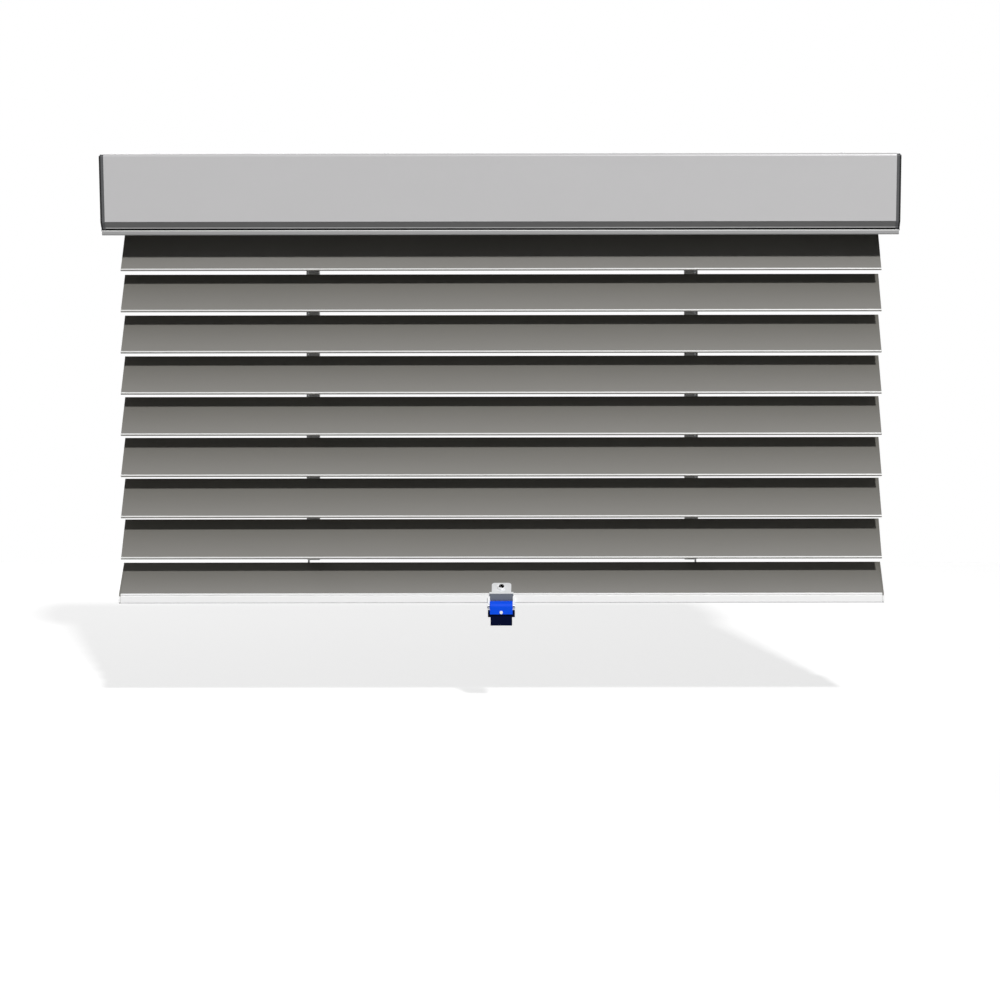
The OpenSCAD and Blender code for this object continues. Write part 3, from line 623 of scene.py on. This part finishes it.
class BLIND_OT_bottom_rail(bpy.types.Operator):
    """Builds the bottom rail with its sloping face, lip and caps"""

    bl_idname = "blind.bottom_rail"
    bl_label = "Bottom rail"

    def execute(self, context):
        look = context.scene.blind_look
        # The sloping face and the caps get a UV for the painted shade of the slat paint, darker towards the back
        # edge
        slope = slope_of("bottom_slat")
        sloping = softened("bottom_slat", look.sheet_edge)
        run_down(sloping.data, slope)
        softened("bottom_rail", look.sheet_edge)
        lip = ("rail_alu", lambda face: face.normal.y < -FLAT_FRONT)
        caps = softened("rail_end_caps", look.sheet_edge, trims=(lip,))
        run_down(caps.data, slope)
        dress("rail_carriers", "rail_hinges", "rail_weight")
        return {"FINISHED"}


class BLIND_OT_grip(bpy.types.Operator):
    """Builds the pull grip with its bracket, screw, pin and tongue"""

    bl_idname = "blind.grip"
    bl_label = "Pull grip"

    def execute(self, context):
        look = context.scene.blind_look
        softened("pull_grip", look.grip_edge, segments=4)
        # The tongue's dark navy stands partly for painted shade under the blue grip
        softened("grip_tongue", look.moulded_edge, segments=3)
        # The bracket's faces that look straight forward (its leaf) take dark blue-grey: partly dull steel, partly
        # painted shade
        leaf = ("dull_steel", lambda face: face.normal.y < -FLAT_FRONT)
        softened("grip_bracket", look.sheet_edge, trims=(leaf,))
        low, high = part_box("grip_screw")
        middle = (low + high) / 2
        # Painted shade: the faces in the screw's recess take the near-black seal colour
        recess = ("seal_rubber", lambda face: distance(face, middle) < look.screw_recess)
        softened("grip_screw", look.sheet_edge, trims=(recess,))
        for node in ("grip_pin", "grip_rivet"):
            softened(node, look.sheet_edge)
        return {"FINISHED"}


class BLIND_OT_tapes(bpy.types.Operator):
    """Builds the woven lift and tilt tapes"""

    bl_idname = "blind.tapes"
    bl_label = "Tapes"

    def execute(self, context):
        joint = next(j for j in frame["joints"] if j["name"] == "blind_lift")
        travel = joint["range_m"][1]
        for tape in joint["deforming_nodes"]:
            for side, name in ((-1, "left"), (1, "right")):
                self.tape(tape["node"], tape["fixed_end_z_m"], travel, side, name)
        return {"FINISHED"}

    def tape(self, node, top, travel, side, name):
        low, high = tape_corners(node, side)
        mesh = woven_strip(f"{node}_{name}", low, high)
        mesh.materials.append(finish_of("tape_cloth"))
        made = piece(f"{node}_{name}", mesh, BODY_OF[node])
        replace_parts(made, node)
        full = top - low.z
        (full - travel) / full
        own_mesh(made)


class BLIND_OT_drive(bpy.types.Operator):
    """Finishes the head rail, motor, shafts, spools and tilt arms"""

    bl_idname = "blind.drive"
    bl_label = "Drive"

    def execute(self, context):
        look = context.scene.blind_look
        for node in ("head_rail", "motor", "tape_spools", "tilt_arms"):
            softened(node, look.sheet_edge)
        dress("rail_hangers", "hanger_bolts", "bearing_blocks", "drive_shafts", "shaft_couplers")
        return {"FINISHED"}


# Stage


def lamp(name, place, size, power):
    """An area light at a place, turned to the blind."""
    light = bpy.data.lights.new(name, "AREA")
    light.energy = power
    light.size = size
    made = bpy.data.objects.new(name, light)
    bpy.context.scene.collection.objects.link(made)
    made.location = place
    view = Vector(LAMP_TARGET) - Vector(place)
    made.rotation_euler = view.to_track_quat("-Z", "Y").to_euler()


def shown(tree):
    """1 for the rays that show the background: to the camera, mirrored or through glass."""
    kinds = ("Camera", "Glossy", "Transmission")
    rays = [tree.add("ShaderNodeLightPath", f"Is {kind} Ray") for kind in kinds]
    camera, mirrored, through = rays
    return camera.greatest(mirrored.greatest(through))


def pale_floor(stage):
    """A floor that looks white and still keeps the object's shadow."""
    finish = Finish("pale_floor", FLOOR_ROUGHNESS)
    finish.feed(finish.shader["Base Color"], (*grey(FLOOR_GREY), 1))
    finish.feed(finish.shader["Emission Strength"], 1.0)
    glow = finish.mix(grey(0.0), grey(stage.floor_glow), shown(finish))
    finish.feed(finish.shader["Emission Color"], glow)
    centre = Matrix.Translation((0, (FLOOR_BACK - FLOOR_REACH) / 2, 0))
    spread = Matrix.Diagonal((FLOOR_REACH, (FLOOR_BACK + FLOOR_REACH) / 2, 1, 1))
    bm = bmesh.new()
    bmesh.ops.create_grid(bm, x_segments=1, y_segments=1, size=1, matrix=centre @ spread)
    mesh = mesh_of("floor", bm)
    mesh.materials.append(finish.material)
    floor = bpy.data.objects.new("floor", mesh)
    floor.location.z = stage.floor_height
    bpy.context.scene.collection.objects.link(floor)


def white_world(stage):
    """White surroundings that give only a little light."""
    world = bpy.data.worlds.new("studio")
    bpy.context.scene.world = world
    world.use_nodes = True
    sky = NodeTree(world.node_tree)
    colour = sky.mix(grey(stage.ambient), grey(1.0), shown(sky))
    sky.feed(sky.tree.nodes["Background"].inputs["Color"], colour)


def camera_at(stage):
    """The camera at the photograph's viewing angle."""
    camera = bpy.data.cameras.new("camera")
    camera.lens = stage.lens
    camera.sensor_width = FILM_WIDTH
    camera.shift_x = stage.slide
    camera.shift_y = stage.rise
    camera.dof.use_dof = False
    eye = bpy.data.objects.new("camera", camera)
    bpy.context.scene.collection.objects.link(eye)
    eye.location = (stage.eye_side, -stage.eye_distance, stage.eye_height)
    eye.rotation_euler = (math.radians(90), stage.roll, 0)
    bpy.context.scene.camera = eye


class BLIND_OT_stage(bpy.types.Operator):
    """Builds the pale floor, the soft light and the camera"""

    bl_idname = "blind.stage"
    bl_label = "Stage"

    def execute(self, context):
        stage = context.scene.blind_stage
        pale_floor(stage)
        white_world(stage)
        for name, setting in LAMPS.items():
            lamp(name, power=getattr(stage, name + "_power"), **setting)
        camera_at(stage)
        context.scene.view_settings.view_transform = "Standard"
        return {"FINISHED"}


class BLIND_PT_panel(bpy.types.Panel):
    """Sidebar panel of the blind"""

    bl_idname = "BLIND_PT_panel"
    bl_label = "Exterior slat blind"
    bl_space_type = "VIEW_3D"
    bl_region_type = "UI"
    bl_category = "Blind"

    def draw(self, context):
        for group, kind in GROUPS.items():
            for name in kind.__annotations__:
                self.layout.prop(getattr(context.scene, group), name)
        for operator in OPERATORS:
            self.layout.operator(operator.bl_idname)


GROUPS = {"blind_look": BlindLook, "blind_colours": BlindColours, "blind_stage": BlindStage}
OPERATORS = (
    BLIND_OT_head_box,
    BLIND_OT_slats,
    BLIND_OT_bottom_rail,
    BLIND_OT_grip,
    BLIND_OT_tapes,
    BLIND_OT_drive,
    BLIND_OT_stage,
)
CLASSES = (*GROUPS.values(), *OPERATORS, BLIND_PT_panel)


def register():
    for cls in CLASSES:
        bpy.utils.register_class(cls)
    for group, kind in GROUPS.items():
        setattr(bpy.types.Scene, group, bpy.props.PointerProperty(type=kind))


def unregister():
    for group in GROUPS:
        delattr(bpy.types.Scene, group)
    for cls in reversed(CLASSES):
        bpy.utils.unregister_class(cls)


def main():
    register()
    bpy.ops.blind.head_box()
    bpy.ops.blind.slats()
    bpy.ops.blind.bottom_rail()
    bpy.ops.blind.grip()
    bpy.ops.blind.tapes()
    bpy.ops.blind.drive()
    bpy.ops.blind.stage()


if __name__ == "__main__":
    main()
